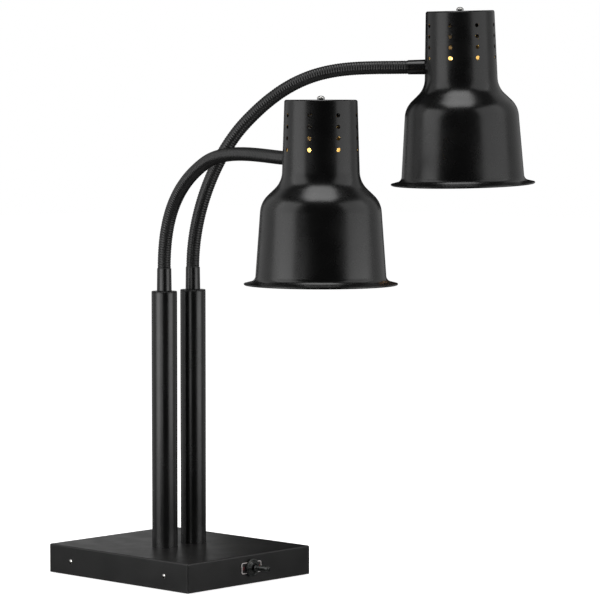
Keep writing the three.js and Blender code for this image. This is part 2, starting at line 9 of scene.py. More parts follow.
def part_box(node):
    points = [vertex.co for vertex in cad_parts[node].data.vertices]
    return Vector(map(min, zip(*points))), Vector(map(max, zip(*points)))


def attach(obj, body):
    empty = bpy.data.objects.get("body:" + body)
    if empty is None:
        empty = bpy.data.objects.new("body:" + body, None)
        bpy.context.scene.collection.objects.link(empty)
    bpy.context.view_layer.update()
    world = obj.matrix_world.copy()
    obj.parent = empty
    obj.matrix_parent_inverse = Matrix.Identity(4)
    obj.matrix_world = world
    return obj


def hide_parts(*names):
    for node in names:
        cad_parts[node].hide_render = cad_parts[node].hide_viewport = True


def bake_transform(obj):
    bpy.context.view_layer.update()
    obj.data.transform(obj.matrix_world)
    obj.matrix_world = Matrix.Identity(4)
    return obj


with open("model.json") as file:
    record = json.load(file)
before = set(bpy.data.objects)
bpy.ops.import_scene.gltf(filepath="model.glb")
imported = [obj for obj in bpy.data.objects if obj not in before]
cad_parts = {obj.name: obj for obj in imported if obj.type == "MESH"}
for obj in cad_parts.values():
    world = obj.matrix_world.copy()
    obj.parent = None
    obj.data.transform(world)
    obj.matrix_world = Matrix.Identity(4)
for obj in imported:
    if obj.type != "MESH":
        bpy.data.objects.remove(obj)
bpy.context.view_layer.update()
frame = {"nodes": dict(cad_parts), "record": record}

# Metres, +Z up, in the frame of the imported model. Shapes are drawn in millimetres round an
# axis of their own and scaled by MM where they are placed.

MM = 0.001
UP = Vector((0, 0, 1))
SIDES = ("left", "right")

SHEET = 1.5                 # steel sheet of the base
BASE_CORNER = 2.4
BASE_EDGE = 2.2
GAP = 0.3                   # between neighbouring pieces

POST_RADIUS = 19.5
POST_WALL = 1.5
NIPPLE_RADIUS = 6.5         # the ferrules' threaded ends
NECK_RADIUS = 10.1
RIB_PITCH = 3.9             # the gooseneck's coil, turn to turn
RIB_DEPTH = 0.42
FERRULE_RADIUS = 11.3
FERRULE_MOUTH = 10.85
SOCKET_DEPTH = 18           # of a ferrule, round the gooseneck's end
UPPER_FERRULE = 26
UPPER_NIPPLE = 16

SHADE_HEIGHT = 260
SHADE_SHEET = 1.2
CONE_TOP = (51.6, 0)        # radius and height at the two ends of the shade's upper cone
CONE_FOOT = (55.2, -115.5)
RIM_RADIUS = 108.8
BODY_RADIUS = 54.5          # of the shade where the ferrule sits against it
ENTRY_DROP = 83.2           # from the shade's top to the ferrule
BARE_FROM = -62             # the inner skin is bare below this height and coated above it
VENT = {"radius": 3, "first": 21.8, "pitch": 16.1, "rows": 4, "columns": 8, "offset": -8.5}
BOLT_HOLE = 3.3             # radius of the holes that the hanger bolt goes through
WASHER_MIDDLE = 0.7         # height of the dome nut's washer above the shade

BULB_TOP = -63              # the ends of the glass, measured from the shade's top
BULB_FACE = -213
BULB_SKIN = 1.2
BULB_GLOW = 12.0

BUSHING_HOLE = 6.3
GLAND_HOLE = 8.3
LEVER_LEAN = 12             # degrees the switch's lever leans at rest
PIVOT_OUT = 3               # of the lever, from the base's front face


# ---------------------------------------------------------------- places in the frame

def distinct(node):
    """The different corners of a CAD node."""
    seen = {tuple(round(c, 6) for c in v.co) for v in frame["nodes"][node].data.vertices}
    return [Vector(p) for p in sorted(seen)]


def middle(node):
    """The mean of a node's corners, which lies on the axis of a turned piece."""
    corners = distinct(node)
    return sum(corners, Vector()) / len(corners)


def joint(name):
    return next(j for j in frame["record"]["behaviour"]["joints"] if j["name"] == name)


def axes(origin, x, y, z):
    """The matrix that puts a shape drawn in millimetres at origin with these directions."""
    turn = Matrix((x, y, z)).transposed().to_4x4()
    return Matrix.Translation(origin) @ turn @ Matrix.Scale(MM, 4)


base_low, base_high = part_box("base_shell")
base_middle = (base_low + base_high) / 2
BASE = axes(Vector((base_middle.x, base_middle.y, 0)), Vector((1, 0, 0)), Vector((0, 1, 0)), UP)
BASE_X = (base_high.x - base_low.x) / MM
BASE_Y = (base_high.y - base_low.y) / MM
BASE_FOOT = base_low.z / MM
BASE_TOP = base_high.z / MM


def on_face(node, side):
    """A frame on the front (-1) or rear (1) face of the base behind a piece that is turned or
    symmetric about its own outward axis: +Z points out of the face and +Y stays upright."""
    low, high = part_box(node)
    face = base_low.y if side < 0 else base_high.y
    origin = Vector(((low.x + high.x) / 2, face, (low.z + high.z) / 2))
    return axes(origin, Vector((-side, 0, 0)), UP, Vector((0, side, 0)))


def upright(node):
    """A frame on an upright turned piece's axis, at ground level."""
    low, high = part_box(node)
    origin = Vector(((low.x + high.x) / 2, (low.y + high.y) / 2, 0))
    return axes(origin, Vector((1, 0, 0)), Vector((0, 1, 0)), UP)


def head_frame(side):
    """A frame on the shade's axis at the top of the shade, +X pointing away from the post."""
    washer = middle(f"shade_washer_{side}")
    up = (washer - middle(f"bulb_glass_{side}")).normalized()
    out = UP.cross(Vector(joint(f"{side}_arm_lift")["axis"]))
    across = (out - up * out.dot(up)).normalized()
    return axes(washer - WASHER_MIDDLE * MM * up, across, up.cross(across), up)


HEAD = {side: head_frame(side) for side in SIDES}


# ---------------------------------------------------------------- shapes

def rounded(corners, steps=6, support=0.2):
    """Points of an outline whose corners are (x, y) or (x, y, fillet radius). A point set just
    outside each end of a fillet keeps the shading of the straight stretches straight."""
    points = []
    for i, corner in enumerate(corners):
        here = Vector(corner[:2])
        if len(corner) == 2:
            points.append(here)
            continue
        radius = corner[2]
        before = (Vector(corners[i - 1][:2]) - here).normalized()
        after = (Vector(corners[(i + 1) % len(corners)][:2]) - here).normalized()
        half = before.angle(after) / 2
        centre = here + (before + after).normalized() * radius / math.sin(half)
        reach = radius / math.tan(half)
        start, end = here + before * reach - centre, here + after * reach - centre
        sweep = math.pi - 2 * half
        points.append(centre + start + before * support)
        for k in range(steps + 1):
            a, b = math.sin((1 - k / steps) * sweep), math.sin(k / steps * sweep)
            points.append(centre + (start * a + end * b) / math.sin(sweep))
        points.append(centre + end + after * support)
    return [(p.x, p.y) for p in points]


def mesh_of(name, verts, faces):
    mesh = bpy.data.meshes.new(name)
    mesh.from_pydata([tuple(v) for v in verts], [], faces)
    tidy(mesh)
    return mesh


def tidy(mesh):
    """Merges doubled corners, drops faces without area and points every face outwards."""
    work = bmesh.new()
    work.from_mesh(mesh)
    bmesh.ops.remove_doubles(work, verts=work.verts, dist=1e-4)
    bmesh.ops.dissolve_degenerate(work, edges=work.edges, dist=1e-5)
    bmesh.ops.recalc_face_normals(work, faces=work.faces)
    work.to_mesh(mesh)
    work.free()


def lofted(name, rings):
    """A skin through rings of points with the same count. A ring of one point closes the skin
    there, and so does a flat face across a first or last ring."""
    verts, index = [], []
    for ring in rings:
        index.append(list(range(len(verts), len(verts) + len(ring))))
        verts.extend(ring)
    faces = []
    for a, b in zip(index, index[1:]):
        count = max(len(a), len(b))
        for i in range(count):
            j = (i + 1) % count
            corners = [a[i % len(a)], a[j % len(a)], b[j % len(b)], b[i % len(b)]]
            faces.append(list(dict.fromkeys(corners)))
    for ring in (index[0], index[-1]):
        if len(ring) > 2 and index[0] != index[-1]:
            faces.append(ring)
    return mesh_of(name, verts, faces)


def turned(name, outline, segments=96):
    """A solid of revolution about Z from [(radius, height), ...]. An outline that keeps off
    the axis closes on itself."""
    rings = []
    closed = outline + outline[:1] if outline[0][0] > 0 else outline
    for r, z in closed:
        if r < 1e-6:
            rings.append([(0, 0, z)])
            continue
        angles = [2 * math.pi * i / segments for i in range(segments)]
        rings.append([(r * math.cos(a), r * math.sin(a), z) for a in angles])
    if closed is not outline:
        return capless(name, rings)
    return lofted(name, rings)


def capless(name, rings):
    """A closed ring of rings, such as a tube with thick walls."""
    count = len(rings[0])
    verts = [p for ring in rings[:-1] for p in ring]
    last = len(rings) - 1
    faces = []
    for k in range(last):
        a, b = k * count, (k + 1) % last * count
        for i in range(count):
            j = (i + 1) % count
            faces.append([a + i, a + j, b + j, b + i])
    return mesh_of(name, verts, faces)


def rod(radius, z0, z1, segments=48, matrix=None):
    """A cylinder along Z, moved by matrix."""
    mesh = turned("rod", [(0, z0), (radius, z0), (radius, z1), (0, z1)], segments)
    if matrix is not None:
        mesh.transform(matrix)
    return mesh


def corner_ring(width, depth, radius, z, steps=6):
    """The ring of a rectangle with rounded corners at height z."""
    x, y = width / 2, depth / 2
    corners = [(x, y, radius), (-x, y, radius), (-x, -y, radius), (x, -y, radius)]
    return [(px, py, z) for px, py in rounded(corners, steps)]


def carve(mesh, cutters):
    """Cuts meshes that don't touch each other out of a mesh."""
    work = bmesh.new()
    for cutter in cutters:
        work.from_mesh(cutter)
    joined = bpy.data.meshes.new("tool")
    work.to_mesh(joined)
    work.free()
    body, tool = (bpy.data.objects.new(m.name, m) for m in (mesh, joined))
    for obj in (body, tool):
        bpy.context.scene.collection.objects.link(obj)
    cut = body.modifiers.new("cut", "BOOLEAN")
    cut.operation = "DIFFERENCE"
    cut.solver = "EXACT"
    cut.object = tool
    evaluated = body.evaluated_get(bpy.context.evaluated_depsgraph_get())
    result = bpy.data.meshes.new_from_object(evaluated)
    for obj in (body, tool):
        bpy.data.objects.remove(obj)
    tidy(result)
    return result


def ripple(mesh, swell):
    """Moves each corner of a turned mesh outwards by swell(radius, angle, height)."""
    for v in mesh.vertices:
        r = math.hypot(v.co.x, v.co.y)
        if r > 0:
            share = 1 + swell(r, math.atan2(v.co.y, v.co.x), v.co.z) / r
            v.co.x *= share
            v.co.y *= share


def add_piece(name, mesh, look, body=None, replaced=(), matrix=None, crease=32):
    """Makes the piece, smooth but for edges sharper than crease degrees, and rides it."""
    if matrix is not None:
        mesh.transform(matrix)
    mesh.materials.clear()
    mesh.materials.append(look)
    mesh.shade_smooth()
    mesh.set_sharp_from_angle(angle=math.radians(crease))
    piece = bpy.data.objects.new(name, mesh)
    bpy.context.scene.collection.objects.link(piece)
    if body:
        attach(piece, body)
    if replaced:
        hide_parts(*replaced)
    return piece


def second_material(piece, look, faces):
    """Gives some faces of a piece a material of their own."""
    piece.data.materials.append(look)
    for index in faces:
        piece.data.polygons[index].material_index = 1


# ---------------------------------------------------------------- materials

def new_material(name, colour, roughness, metallic=0.0, **sockets):
    look = bpy.data.materials.new(name)
    look.use_nodes = True
    shader = look.node_tree.nodes["Principled BSDF"]
    shader.inputs["Base Color"].default_value = (*colour, 1)
    shader.inputs["Roughness"].default_value = roughness
    shader.inputs["Metallic"].default_value = metallic
    for socket, value in sockets.items():
        shader.inputs[socket.replace("_", " ")].default_value = value
    return look


def add_node(look, kind, inputs=None, **settings):
    node = look.node_tree.nodes.new(kind)
    for key, value in settings.items():
        setattr(node, key, value)
    for key, value in (inputs or {}).items():
        if isinstance(value, bpy.types.NodeSocket):
            look.node_tree.links.new(value, node.inputs[key])
        else:
            node.inputs[key].default_value = value
    return node


def drive(look, socket, value):
    shader = look.node_tree.nodes["Principled BSDF"]
    look.node_tree.links.new(value, shader.inputs[socket])


def noise(look, scale, detail=2.0):
    place = add_node(look, "ShaderNodeTexCoord").outputs["Object"]
    return add_node(look, "ShaderNodeTexNoise", {"Vector": place, "Scale": scale, "Detail": detail})


def spread(look, value, low, high, start=0.35, end=0.65):
    """Maps value from start..end to low..high."""
    inputs = {"Value": value, "From Min": start, "From Max": end, "To Min": low, "To Max": high}
    return add_node(look, "ShaderNodeMapRange", inputs).outputs["Result"]


def uneven_gloss(look, scale, low, high):
    drive(look, "Roughness", spread(look, noise(look, scale, 3).outputs["Fac"], low, high))


def blended(look, share, first, second):
    mix = add_node(look, "ShaderNodeMix", data_type="RGBA")
    look.node_tree.links.new(share, mix.inputs["Factor"])
    for key, colour in (("A", first), ("B", second)):
        socket = next(s for s in mix.inputs if s.name == key and s.type == "RGBA")
        if isinstance(colour, bpy.types.NodeSocket):
            look.node_tree.links.new(colour, socket)
        else:
            socket.default_value = (*colour, 1)
    return next(s for s in mix.outputs if s.type == "RGBA")


def bumpy(look, height, distance, strength=1.0):
    inputs = {"Height": height, "Distance": distance, "Strength": strength}
    drive(look, "Normal", add_node(look, "ShaderNodeBump", inputs).outputs["Normal"])


def edge_share(look, radius):
    """How close a point is to an outside edge, from the normal of a bevelled shape."""
    soft = add_node(look, "ShaderNodeBevel", {"Radius": radius}, samples=4).outputs["Normal"]
    true = add_node(look, "ShaderNodeNewGeometry").outputs["Normal"]
    dot = add_node(look, "ShaderNodeVectorMath", {0: soft, 1: true}, operation="DOT_PRODUCT")
    return spread(look, dot.outputs["Value"], 1, 0, 0.8, 0.99)


def powder_coat(name, dark, light, gloss, peel=0.00001):
    """Black powder coat: fine orange peel, slightly uneven gloss and colour, and edges painted
    a little paler, partly where the coat is thinner and partly as a painted highlight."""
    look = new_material(name, dark, gloss[0], Specular_IOR_Level=0.5)
    uneven = blended(look, spread(look, noise(look, 14, 3).outputs["Fac"], 0, 1), dark, light)
    # The paler edge colour is partly a thinner coat and partly a painted highlight.
    pale_edge_and_highlight = tuple(1.5 * c for c in light)
    drive(look, "Base Color", blended(look, edge_share(look, 0.0007), uneven, pale_edge_and_highlight))
    uneven_gloss(look, 30, *gloss)
    bumpy(look, noise(look, 850, 2).outputs["Fac"], peel, 0.6)
    return look


def metal(name, colour, gloss, grain=400):
    """Plated or bare metal with fine cloudy grain."""
    look = new_material(name, colour, gloss[0], metallic=1.0)
    dull = tuple(0.72 * c for c in colour)
    share = spread(look, noise(look, grain, 4).outputs["Fac"], 0, 1)
    drive(look, "Base Color", blended(look, share, colour, dull))
    uneven_gloss(look, grain / 2, *gloss)
    bumpy(look, noise(look, 3 * grain, 2).outputs["Fac"], 0.000004, 0.5)
    return look


def moulded(name, dark, light, gloss, grain=1500, depth=0.000012):
    """Moulded rubber or plastic with a fine spark-eroded grain."""
    look = new_material(name, dark, gloss[0])
    share = spread(look, noise(look, 60, 3).outputs["Fac"], 0, 1)
    drive(look, "Base Color", blended(look, share, dark, light))
    uneven_gloss(look, 90, *gloss)
    bumpy(look, noise(look, grain, 3).outputs["Fac"], depth, 0.7)
    return look


def lamp_glass(side):
    """A lit reflector bulb: the clear neck glows brightest, the silvered cone hardly at all
    and the frosted face softly. It goes by the height along the bulb's own axis."""
    look = new_material(f"bulb_glass_{side}", (0.75, 0.6, 0.42), 0.16, Coat_Weight=0.4)
    place = add_node(look, "ShaderNodeTexCoord").outputs["Object"]
    origin, up = HEAD[side].translation, HEAD[side].col[2].to_3d().normalized()
    below = add_node(look, "ShaderNodeVectorMath", {0: place, 1: origin}, operation="SUBTRACT")
    inputs = {0: below.outputs["Vector"], 1: up}
    height = add_node(look, "ShaderNodeVectorMath", inputs, operation="DOT_PRODUCT").outputs["Value"]
    along = spread(look, height, 0, 1, BULB_FACE * MM, BULB_TOP * MM)
    ramp = add_node(look, "ShaderNodeValToRGB", {"Fac": along}).color_ramp
    ramp.elements[0].color = (0.14, 0.075, 0.03, 1)
    ramp.elements[1].color = (1.0, 0.72, 0.28, 1)
    for at, colour in ((0.2, (0.08, 0.035, 0.012, 1)), (0.3, (0.01, 0.004, 0.002, 1)),
                       (0.78, (0.02, 0.008, 0.003, 1)), (0.88, (1.0, 0.55, 0.12, 1))):
        ramp.elements.new(at).color = colour
    glow = next(n for n in look.node_tree.nodes if n.type == "VALTORGB")
    drive(look, "Emission Color", glow.outputs["Color"])
    shader = look.node_tree.nodes["Principled BSDF"]
    shader.inputs["Emission Strength"].default_value = BULB_GLOW
    uneven_gloss(look, 200, 0.12, 0.22)
    return look


BASE_COAT = powder_coat("base_powder_coat", (0.010, 0.0101, 0.0101), (0.015, 0.015, 0.015), (0.33, 0.39))
POST_COAT = powder_coat("post_powder_coat", (0.005, 0.0051, 0.0051), (0.008, 0.008, 0.008), (0.22, 0.28))
SHADE_COAT = powder_coat("shade_powder_coat", (0.003, 0.0031, 0.0031), (0.005, 0.005, 0.005), (0.24, 0.30))
NECK_COAT = powder_coat("neck_coat", (0.008, 0.0081, 0.0081), (0.013, 0.013, 0.013), (0.30, 0.40))
ZINC = metal("zinc_plated_steel", (0.42, 0.43, 0.43), (0.30, 0.48), 250)
BRIGHT = metal("nickel_plated_steel", (0.62, 0.61, 0.59), (0.14, 0.28), 500)
ALUMINIUM = metal("bare_spun_aluminium", (0.62, 0.62, 0.61), (0.36, 0.5), 300)
PLATE_BORDER = moulded("legend_plate_border", (0.82, 0.78, 0.77), (0.74, 0.70, 0.69), (0.3, 0.42))
PLATE_FACE = moulded("legend_plate_face", (0.016, 0.015, 0.015), (0.022, 0.02, 0.02), (0.3, 0.4))
RUBBER = moulded("black_rubber", (0.012, 0.0140, 0.0133), (0.020, 0.023, 0.0215), (0.20, 0.30))
FOOT_RUBBER = moulded("foot_rubber", (0.02, 0.02, 0.02), (0.03, 0.03, 0.03), (0.6, 0.75))
PLASTIC = moulded("black_plastic", (0.016, 0.016, 0.017), (0.024, 0.024, 0.025), (0.38, 0.5))
SHEATH = moulded("lead_sheath", (0.02, 0.02, 0.022), (0.032, 0.032, 0.034), (0.45, 0.6))
PORCELAIN = moulded("white_porcelain", (0.72, 0.70, 0.64), (0.62, 0.60, 0.54), (0.16, 0.3), 500)
BRASS = metal("cap_brass", (0.75, 0.55, 0.24), (0.2, 0.34), 400)
RED_PRINT = moulded("red_print", (0.30, 0.02, 0.03), (0.22, 0.015, 0.02), (0.4, 0.55))


# ---------------------------------------------------------------- base

def base_shell():
    """A folded and welded sheet box, open underneath, with holes for all that goes through.
    Its profiles are (inset, height) from the middle of the ceiling round to that of the top."""
    rings = []
    inner_x, inner_y = BASE_X - 2 * SHEET, BASE_Y - 2 * SHEET
    inner_corner, inner_edge = BASE_CORNER - SHEET, BASE_EDGE - SHEET
    ceiling = BASE_TOP - SHEET
    flat = 8
    profiles = [
        (inner_x, inner_y, inner_corner, [
            (flat, ceiling), (0, ceiling, inner_edge), (0, BASE_FOOT),
        ]),
        (BASE_X, BASE_Y, BASE_CORNER, [
            (SHEET, BASE_FOOT), (0, BASE_FOOT, 0.5), (0, BASE_TOP, BASE_EDGE), (flat, BASE_TOP),
        ]),
    ]
    for width, depth, corner, profile in profiles:
        for inset, z in rounded(profile):
            radius = max(corner - inset, 0.4)
            rings.append(corner_ring(width - 2 * inset, depth - 2 * inset, radius, z))
    mesh = lofted("base_shell_fine", rings)

    cutters = []
    for side in SIDES:
        low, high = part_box(f"post_{side}")
        x = ((low.x + high.x) / 2 - base_middle.x) / MM
        cutters.append(rod(POST_RADIUS + GAP, 30, 60, 96, Matrix.Translation((x, 0, 0))))
    to_base = BASE.inverted()
    for node, matrix in screw_frames().items():
        cutters.append(rod(2.3, -6, 6, 24, to_base @ matrix))
    cutters.append(rod(BUSHING_HOLE, -8, 8, 48, to_base @ on_face("switch_nut", -1)))
    cutters.append(rod(GLAND_HOLE, -8, 8, 48, to_base @ on_face("gland_cap", 1)))
    add_piece(
        "base_shell_fine", carve(mesh, cutters), BASE_COAT, "base",
        ["base_shell"], BASE, crease=24,
    )


def screw_frames():
    """Each side screw's place: z = 0 on the base's side face and +Z out of it."""
    places = {}
    for end in ("front", "rear"):
        for side, sign in (("left", -1), ("right", 1)):
            node = f"side_screw_{side}_{end}"
            low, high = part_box(node)
            face = base_low.x if sign < 0 else base_high.x
            origin = Vector((face, (low.y + high.y) / 2, (low.z + high.z) / 2))
            places[node] = axes(origin, Vector((0, sign, 0)), UP, Vector((sign, 0, 0)))
    return places


def cross_ring(reach, half, z):
    """The ring of a cross at height z, its arms reach long and twice half wide."""
    quarter = [(reach, -half), (reach, half), (half, half)]
    ring = []
    for turn in range(4):
        c, s = round(math.cos(turn * math.pi / 2)), round(math.sin(turn * math.pi / 2))
        ring += [(c * x - s * y, s * x + c * y, z) for x, y in quarter]
    return ring


def side_screws():
    """Pan-head screws with a cross recess."""
    outline = rounded([
        (0, 2.3), (1.5, 2.3), (3.6, 1.2, 0.9), (3.6, 0.3, 0.2), (2.0, 0.3), (2.0, -8), (0, -8.7),
    ], 4, 0.08)
    for number, (node, matrix) in enumerate(screw_frames().items()):
        recess = lofted("recess", [cross_ring(1.2, 0.25, 0.9), cross_ring(1.9, 0.42, 2.6)])
        recess.transform(Matrix.Rotation(math.radians(20 + 37 * number), 4, "Z"))
        mesh = carve(turned(f"{node}_fine", outline, 48), [recess])
        add_piece(f"{node}_fine", mesh, BRIGHT, "base", [node], matrix)


def feet():
    outline = rounded([
        (0, 0), (7.6, 0), (8.9, 0, 0.4), (10, 1.2, 0.6), (10, 4.7, 0.5), (3, 4.7), (3, 6.8),
        (4.4, 6.8), (2.2, 10.8), (0, 10.8),
    ], 3)
    for end in ("front", "rear"):
        for side in SIDES:
            node = f"foot_{end}_{side}"
            mesh = turned(f"{node}_fine", outline, 48)
            add_piece(f"{node}_fine", mesh, FOOT_RUBBER, "base", [node], upright(node))


# ---------------------------------------------------------------- switch and gland

def legend_plate():
    """A rounded plate behind the switch with a plain ring and a plain bar at its two ends."""
    matrix = on_face("switch_legend_plate", -1)
    rings = [
        corner_ring(41.4, 16.4, 2.7, GAP), corner_ring(42, 17, 3, GAP + 0.25),
        corner_ring(42, 17, 3, 0.9), corner_ring(41.6, 16.6, 2.8, 1.1),
        corner_ring(39.8, 14.8, 1.9, 1.1), corner_ring(39.6, 14.6, 1.8, 1.0),
    ]
    nut_x = middle("switch_nut").x - middle("switch_legend_plate").x
    hole = rod(BUSHING_HOLE, -1, 3, 48, Matrix.Translation((nut_x / MM, 0, 0)))
    mesh = carve(lofted("switch_legend_plate_fine", rings), [hole])
    face = {p.index for p in mesh.polygons if p.normal.z > 0.9 and p.center.z < 1.05}
    plate = add_piece(
        "switch_legend_plate_fine", mesh, PLATE_BORDER, "base",
        ["switch_legend_plate"], matrix,
    )
    second_material(plate, PLATE_FACE, face)
    ring = turned("switch_mark_off", [(1.3, -0.06), (2.0, -0.06), (2.0, 0.06), (1.3, 0.06)], 48)
    bar = lofted("switch_mark_on", [corner_ring(0.9, 4.6, 0.3, -0.06), corner_ring(0.9, 4.6, 0.3, 0.06)])
    for name, mesh, x in (("switch_mark_off", ring, -17.4), ("switch_mark_on", bar, 17.4)):
        place = matrix @ Matrix.Translation((x, 0, 1.06))
        add_piece(name, mesh, RED_PRINT, "base", (), place)


def switch_boot():
    """The splash boot's skirt: a stepped disc with a knurled rim round the bushing."""
    outline = rounded([
        (8.4, 1.5), (13.0, 1.5, 0.3), (13.5, 2.4, 0.4), (13.5, 4.2, 0.7), (11.6, 5.2, 0.6),
        (10.6, 4.4, 0.5), (9.6, 6.3, 0.5), (8.2, 6.3, 0.5), (7.6, 7.6, 0.4), (6.5, 7.6, 0.3),
        (6.5, 6.4), (8.4, 4.2),
    ], 3, 0.06)

    def knurl(r, angle, z):
        return -0.22 * (0.5 - 0.5 * math.cos(24 * angle)) if r > 12.4 else 0

    mesh = turned("switch_boot_fine", outline, 144)
    ripple(mesh, knurl)
    add_piece(
        "switch_boot_fine", mesh, RUBBER, "base", ["switch_boot"],
        on_face("switch_boot", -1),
    )


def lever_frame():
    """The toggle's frame: z runs along the lever, from the base's face before it leans."""
    pivot = Vector(joint("switch_toggle")["pos_m"])
    lean = math.radians(LEVER_LEAN)
    out = Vector((math.sin(lean), -math.cos(lean), 0))
    side = UP.cross(out)
    return axes(pivot - PIVOT_OUT * MM * out, side, UP, side.cross(UP))


def switch_toggle():
    """The lever's rubber sleeve, waisted, finger-shaped and flattened towards its tip, and the
    lever inside it."""
    matrix = lever_frame()
    sleeve = rounded([
        (0, 29.4), (2.9, 28.9), (3.3, 26), (2.8, 12), (3.0, 8.4), (4.9, 8.4, 0.6), (4.1, 11.5, 3),
        (4.5, 18.5, 8), (4.8, 27.4, 5), (4.2, 32, 2.2), (2.2, 33.4, 1.6), (0, 33.4),
    ], 4, 0.05)
    mesh = turned("switch_sleeve_fine", sleeve, 64)
    for v in mesh.vertices:
        tip = max(0.0, min(1.0, (v.co.z - 12) / 20))
        if math.hypot(v.co.x, v.co.y) > 3.4:
            v.co.x *= 1 - 0.1 * tip
    add_piece("switch_sleeve_fine", mesh, RUBBER, "toggle", ["switch_sleeve"], matrix)
    lever = rounded([
        (0, 0.5), (1.6, 0.5, 0.4), (2, 3), (2.4, 12), (2.9, 26, 1.5), (2.6, 28.4, 0.8), (0, 29),
    ], 4, 0.05)
    add_piece(
        "switch_lever_fine", turned("switch_lever_fine", lever, 48), BRIGHT,
        "toggle", ["switch_lever"], matrix,
    )


def gland():
    """The cable gland's cap: a fluted grip and a rounded clamping nose."""
    matrix = on_face("gland_cap", 1)
    outline = rounded([
        (GLAND_HOLE, 5.3), (10.6, 5.3, 0.4), (10.6, 14, 0.8), (9, 18, 2.5), (6.2, 20.5, 0.8),
        (4.3, 20.5, 0.4), (4.3, 12.3), (GLAND_HOLE, 12.3),
    ], 4, 0.1)

    def flute(r, angle, z):
        on_grip = r > 9.8 and 6 < z < 14.2
        return -0.45 * (0.5 - 0.5 * math.cos(16 * angle)) ** 2 if on_grip else 0

    mesh = turned("gland_cap_fine", outline, 144)
    ripple(mesh, flute)
    add_piece("gland_cap_fine", mesh, PLASTIC, "base", ["gland_cap"], matrix)


# ---------------------------------------------------------------- posts

def posts():
    for side in SIDES:
        low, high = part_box(f"post_{side}")
        foot, top = low.z / MM, high.z / MM
        inner = POST_RADIUS - POST_WALL
        tube = rounded([
            (inner, foot), (POST_RADIUS, foot), (POST_RADIUS, top, 0.35), (inner, top),
        ], 3)
        add_piece(
            f"post_{side}_fine", turned(f"post_{side}_fine", tube, 128), POST_COAT,
            "base", [f"post_{side}"], upright(f"post_{side}"),
        )
        low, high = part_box(f"post_cap_{side}")
        bore, plug, lip = NIPPLE_RADIUS + GAP, inner - GAP, top + GAP
        cap = rounded([
            (bore, low.z / MM), (plug, low.z / MM), (plug, lip), (POST_RADIUS, lip, 0.25),
            (POST_RADIUS, high.z / MM, 1.3), (bore, high.z / MM),
        ], 5, 0.1)
        add_piece(
            f"post_cap_{side}_fine", turned(f"post_cap_{side}_fine", cap, 128), POST_COAT,
            "base", [f"post_cap_{side}"], upright(f"post_cap_{side}"),
        )


# ---------------------------------------------------------------- goosenecks

def ferrule_outline(length, nipple, seat=0.0):
    """A turned ferrule: a threaded nipple, a shoulder, a slow taper and a rounded mouth that
    closes on the gooseneck."""
    socket = NECK_RADIUS + GAP
    floor = length - SOCKET_DEPTH
    return rounded([
        (4, -nipple), (NIPPLE_RADIUS, -nipple, 0.5), (NIPPLE_RADIUS, seat), (FERRULE_RADIUS, seat, 0.5),
        (FERRULE_RADIUS - 0.35, 0.7 * length, 60), (FERRULE_MOUTH, length, 0.5),
        (socket, length, 0.15), (socket, floor), (4, floor),
    ], 5, 0.1)


def lower_ferrules():
    for side in SIDES:
        node = f"ferrule_lower_{side}"
        low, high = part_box(node)
        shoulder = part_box(f"post_cap_{side}")[1].z / MM + GAP
        length = high.z / MM - shoulder
        outline = ferrule_outline(length, shoulder - low.z / MM)
        mesh = turned(f"{node}_fine", outline, 96)
        matrix = upright(node) @ Matrix.Translation((0, 0, shoulder))
        add_piece(f"{node}_fine", mesh, POST_COAT, f"{side}_arm", [node], matrix)


def upper_ferrules():
    """The ferrule at the shade; its shoulder is hollowed to sit on the round side."""
    for side in SIDES:
        node = f"ferrule_upper_{side}"
        mesh = turned(f"{node}_fine", ferrule_outline(UPPER_FERRULE, UPPER_NIPPLE, -3), 96)
        lying = Matrix.Translation((0, 0, -BODY_RADIUS)) @ Matrix.Rotation(math.pi / 2, 4, "Y")
        wall = rod(BODY_RADIUS + GAP, -40, 40, 160, lying)
        core = rod(NIPPLE_RADIUS + 0.05, -70, 2, 96)
        mesh = carve(mesh, [carve(wall, [core])])
        turn = Matrix.Rotation(-math.pi / 2, 4, "Y")
        matrix = HEAD[side] @ Matrix.Translation((-BODY_RADIUS, 0, -ENTRY_DROP)) @ turn
        add_piece(f"{node}_fine", mesh, POST_COAT, f"{side}_head", [node], matrix)


def through(start, leaving, via, end, arriving):
    """The cubic curve from start to end with those directions that passes via at halfway, as a
    function of t."""
    known = (8 * via - 4 * start - 4 * end) / 3
    cosine = leaving.dot(arriving)
    a, b = known.dot(leaving), known.dot(arriving)
    first = (a - b * cosine) / (1 - cosine ** 2)
    second = (a * cosine - b) / (1 - cosine ** 2)
    points = [start, start + leaving * first, end - arriving * second, end]

    def at(t):
        weights = [(1 - t) ** 3, 3 * t * (1 - t) ** 2, 3 * t * t * (1 - t), t ** 3]
        return sum((w * p for w, p in zip(weights, points)), Vector())

    return at


def seam(side):
    """Where the two halves of a gooseneck's CAD solid meet, and the direction there."""
    lower, upper = distinct(f"neck_lower_{side}"), distinct(f"neck_upper_{side}")
    pairs = [(a, b) for a in lower for b in upper if (a - b).length < 0.5 * MM]
    ends = [sum(points, Vector()) / len(pairs) for points in zip(*pairs)]
    return (ends[0] + ends[1]) / 2, (ends[1] - ends[0]).normalized()


def even_stations(lines, step):
    """Points every step along a list of curves, each a function of t from 0 to 1; the last point
    is the curves' end."""
    fine = [line(i / 400) for line in lines for i in range(401)]
    stations, travelled, wanted = [fine[0]], 0.0, step
    for a, b in zip(fine, fine[1:]):
        length = (b - a).length
        while length > 0 and travelled + length >= wanted:
            stations.append(a.lerp(b, (wanted - travelled) / length))
            wanted += step
        travelled += length
    stations[-1] = fine[-1]
    return stations


